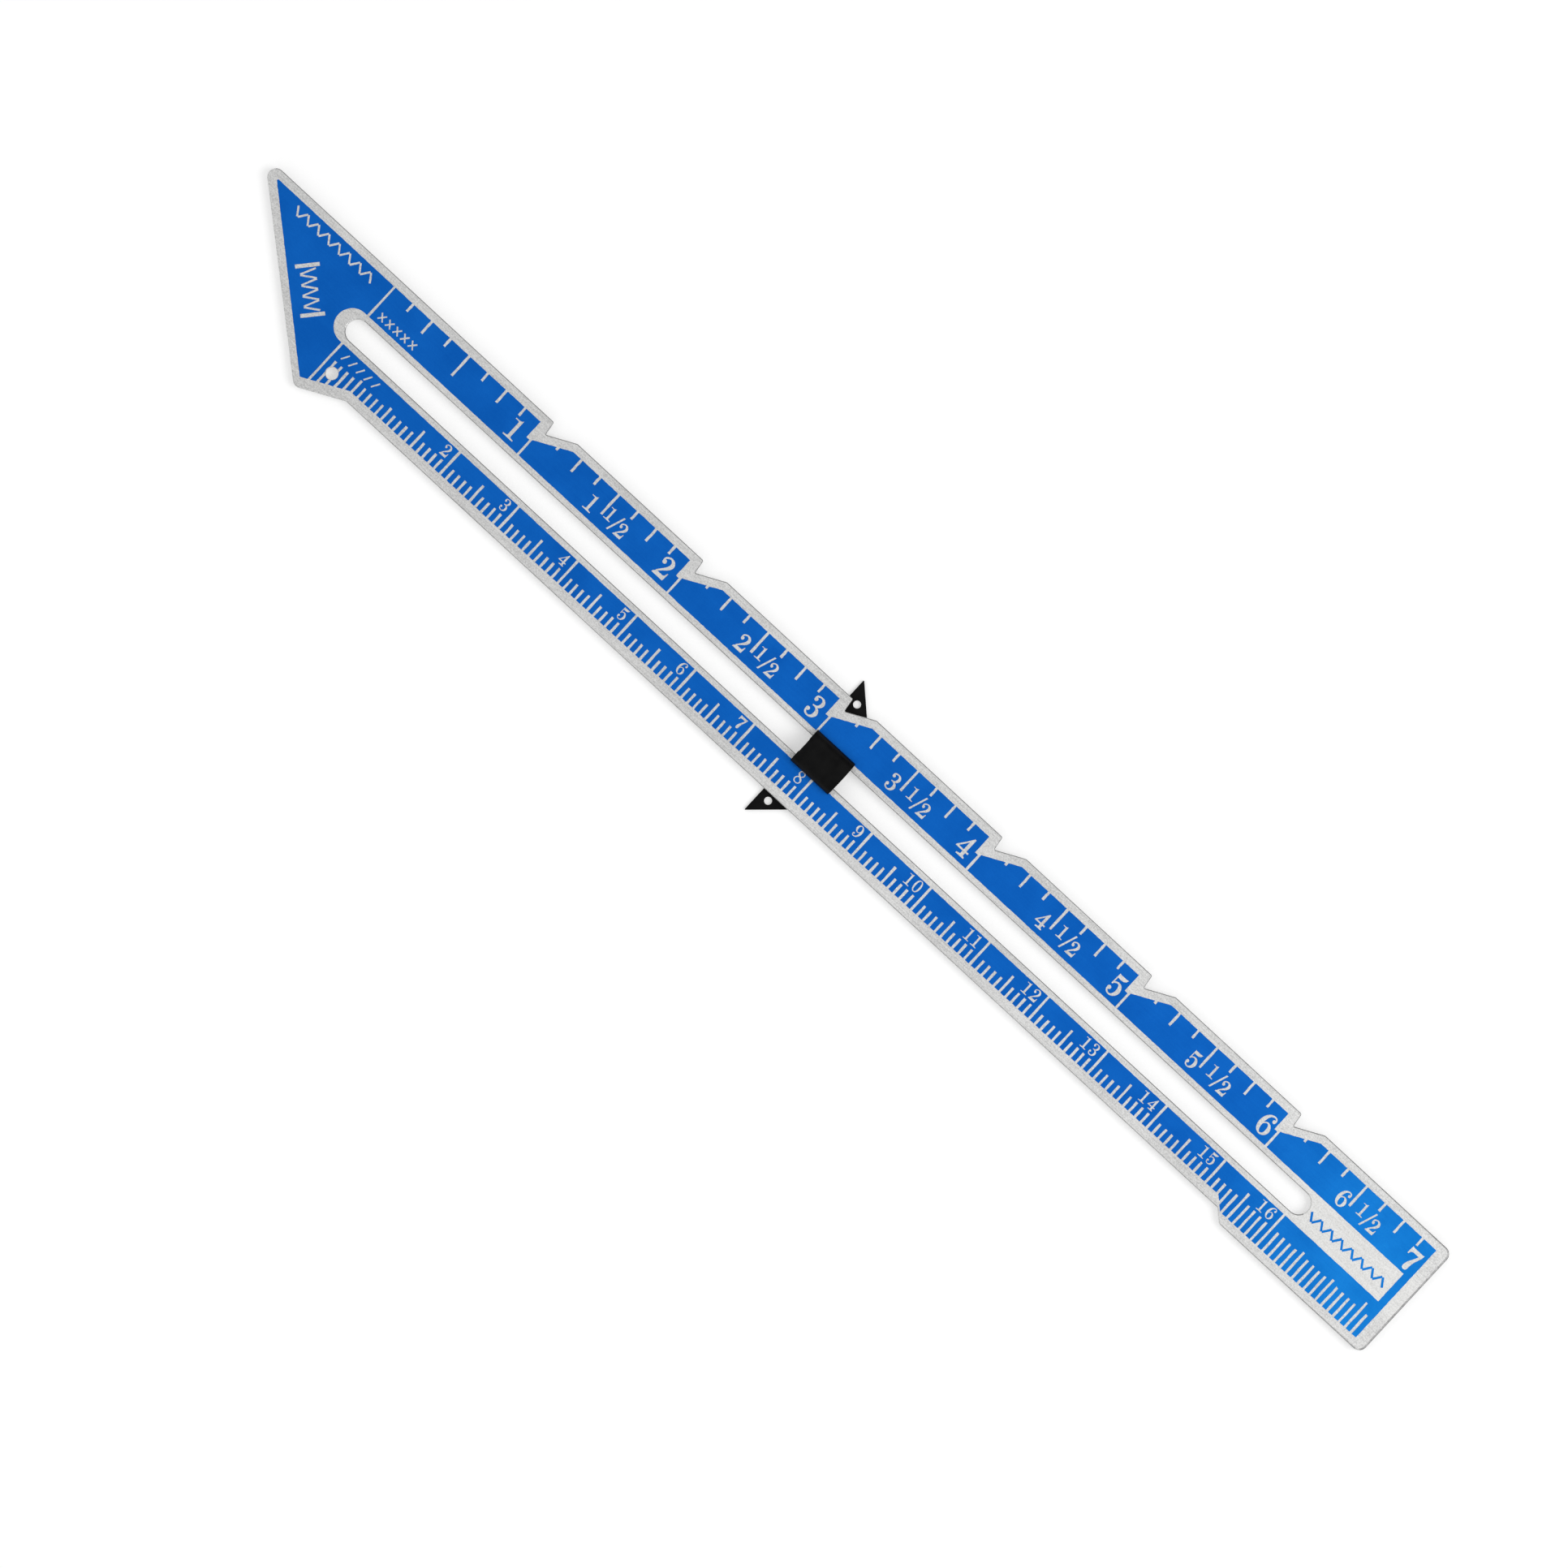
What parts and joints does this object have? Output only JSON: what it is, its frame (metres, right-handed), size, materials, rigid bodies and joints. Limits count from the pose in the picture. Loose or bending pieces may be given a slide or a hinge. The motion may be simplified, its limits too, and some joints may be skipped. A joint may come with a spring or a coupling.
{
  "type": "sewing gauge",
  "caption": "Flat aluminium sewing gauge with inch and metric scales, ramped notches, a pointed end, a long slot and a folded black slider with pointers.",
  "frame": {"origin": "middle of the object's box on the surface it lies on; the middle of the slot lies over the X axis", "axes": "+X along the blade from its point to its widened end, +Y to the inch edge, +Z out of the scale face"},
  "size_m": [0.2, 0.022, 0.0036],
  "materials": {
    "bare_aluminium": "satin, brushed along the blade",
    "blue_face": "satin, dyed blue in its anodised skin",
    "black_slider": "satin black"
  },
  "bodies": {
    "blade": {"blade": "bare_aluminium", "scale_face": "blue_face"},
    "slider": {"slider": "black_slider"}
  },
  "joints": [
    {"name": "slider_travel", "type": "slide", "parent": "blade", "child": "slider", "axis": [1, 0, 0], "range_m": [-0.0762, 0.078]}
  ]
}
